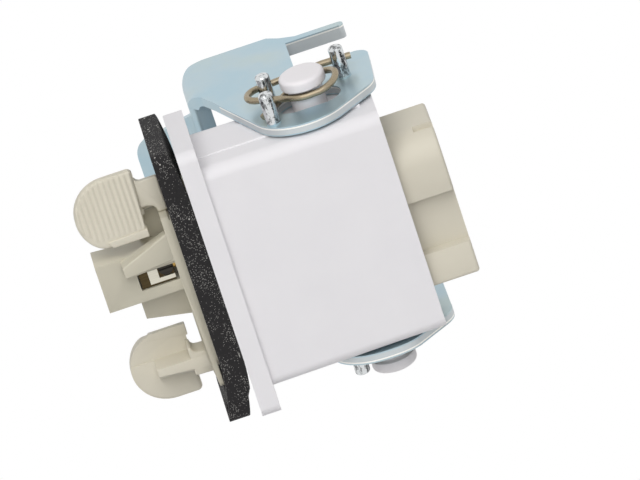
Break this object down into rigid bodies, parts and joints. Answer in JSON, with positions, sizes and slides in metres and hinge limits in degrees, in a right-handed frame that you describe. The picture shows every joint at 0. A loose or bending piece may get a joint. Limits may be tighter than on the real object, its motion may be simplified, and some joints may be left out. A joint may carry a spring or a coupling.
{
  "type": "heavy duty rectangular connector",
  "caption": "Rectangular panel-mount power connector: flanged white housing, foam gasket, swinging steel locking lever on pivot pins, and a socket insert with thumb-release latches.",
  "frame": {"origin": "middle of the panel face, in the centre of the flange's hole pattern", "axes": "+X is the mating direction, out of the panel; +Z is along the lever's pivot axis; +Y is the side to which the lever opens"},
  "size_m": [0.0521, 0.0367, 0.0478],
  "materials": {
    "white_plastic": "fine moulded satin",
    "gasket_foam": "closed-cell foam",
    "zinc_steel": "zinc plated",
    "spring_wire": "drawn wire",
    "pin_plastic": "moulded satin",
    "beige_plastic": "moulded matte",
    "contact_brass": "turned",
    "bright_steel": "bright",
    "seal_rubber": "moulded"
  },
  "bodies": {
    "base": {"housing": "white_plastic", "flange_gasket": "gasket_foam", "pivot_pin_upper": "pin_plastic", "pivot_pin_lower": "pin_plastic", "socket_block": "beige_plastic", "terminal_carrier": "beige_plastic", "line_contact_1": "contact_brass", "line_contact_2": "contact_brass", "line_contact_3": "contact_brass", "earth_contact": "contact_brass", "contact_sleeves": "bright_steel", "earth_clamp": "contact_brass", "earth_screw": "bright_steel", "pressure_plate": "bright_steel", "insert_seal": "seal_rubber", "contact_clips": "bright_steel"},
    "lever": {"locking_lever": "zinc_steel", "lever_spring_upper": "spring_wire", "lever_spring_lower": "spring_wire"},
    "upper_latch": {"release_latch_upper": "beige_plastic"},
    "lower_latch": {"release_latch_lower": "beige_plastic"}
  },
  "joints": [
    {"name": "lever_swing", "type": "hinge", "parent": "base", "child": "lever", "pos_m": [0.0237, 0.0008, 0], "axis": [0, 0, 1], "range_deg": [-75, 0]},
    {"name": "upper_latch_press", "type": "hinge", "parent": "base", "child": "upper_latch", "pos_m": [0.012, 0.00005, 0.0137], "axis": [0, 0, -1], "range_deg": [0, 5.5], "stiffness_Nm_per_rad": 1.5},
    {"name": "lower_latch_press", "type": "hinge", "parent": "base", "child": "lower_latch", "pos_m": [0.012, -0.00005, -0.0137], "axis": [0, 0, 1], "range_deg": [0, 5.5], "stiffness_Nm_per_rad": 1.5}
  ]
}
